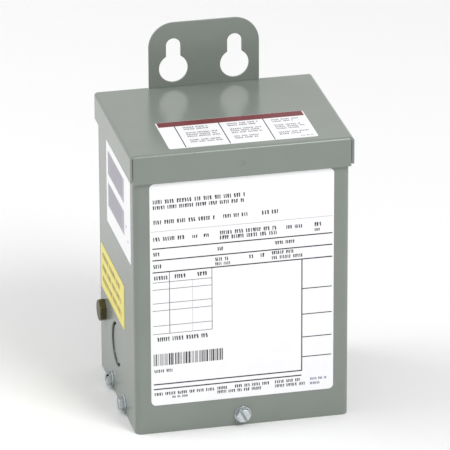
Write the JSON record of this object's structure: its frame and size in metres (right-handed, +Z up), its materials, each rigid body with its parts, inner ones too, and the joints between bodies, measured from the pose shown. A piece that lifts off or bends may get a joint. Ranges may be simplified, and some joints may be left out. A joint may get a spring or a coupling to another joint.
{
  "type": "buck-boost transformer",
  "caption": "Small wall-hung dry-type transformer in a folded painted sheet-metal case with a capping lid, keyhole hanging tab, conduit knockouts and blank rating labels.",
  "frame": {"origin": "centre of the case's base", "axes": "+Z up, the front faces -Y, the wall is at +Y, +X to the right as seen from the front"},
  "size_m": [0.1414, 0.1092, 0.226],
  "materials": {
    "case_paint": "semi-gloss grey-green enamel",
    "potting_resin": "cast resin",
    "bolt_bronze": "dark chromate",
    "screw_zinc": "bright zinc plate",
    "label_white": "printed vinyl film",
    "label_yellow": "printed vinyl film"
  },
  "bodies": {
    "root": {"back_plate": "case_paint", "case_wrapper": "case_paint", "lid_cap": "case_paint", "bottom_pan": "case_paint", "potted_core": "potting_resin", "left_knockout": "case_paint", "right_knockout": "case_paint", "left_hex_bolt": "bolt_bronze", "right_hex_bolt": "bolt_bronze", "front_screw": "screw_zinc", "left_rear_screw": "screw_zinc", "left_front_screw": "screw_zinc", "right_rear_screw": "screw_zinc", "right_front_screw": "screw_zinc", "rating_label": "label_white", "lid_label": "label_white", "side_label": "label_white", "wiring_label": "label_yellow"}
  },
  "joints": []
}
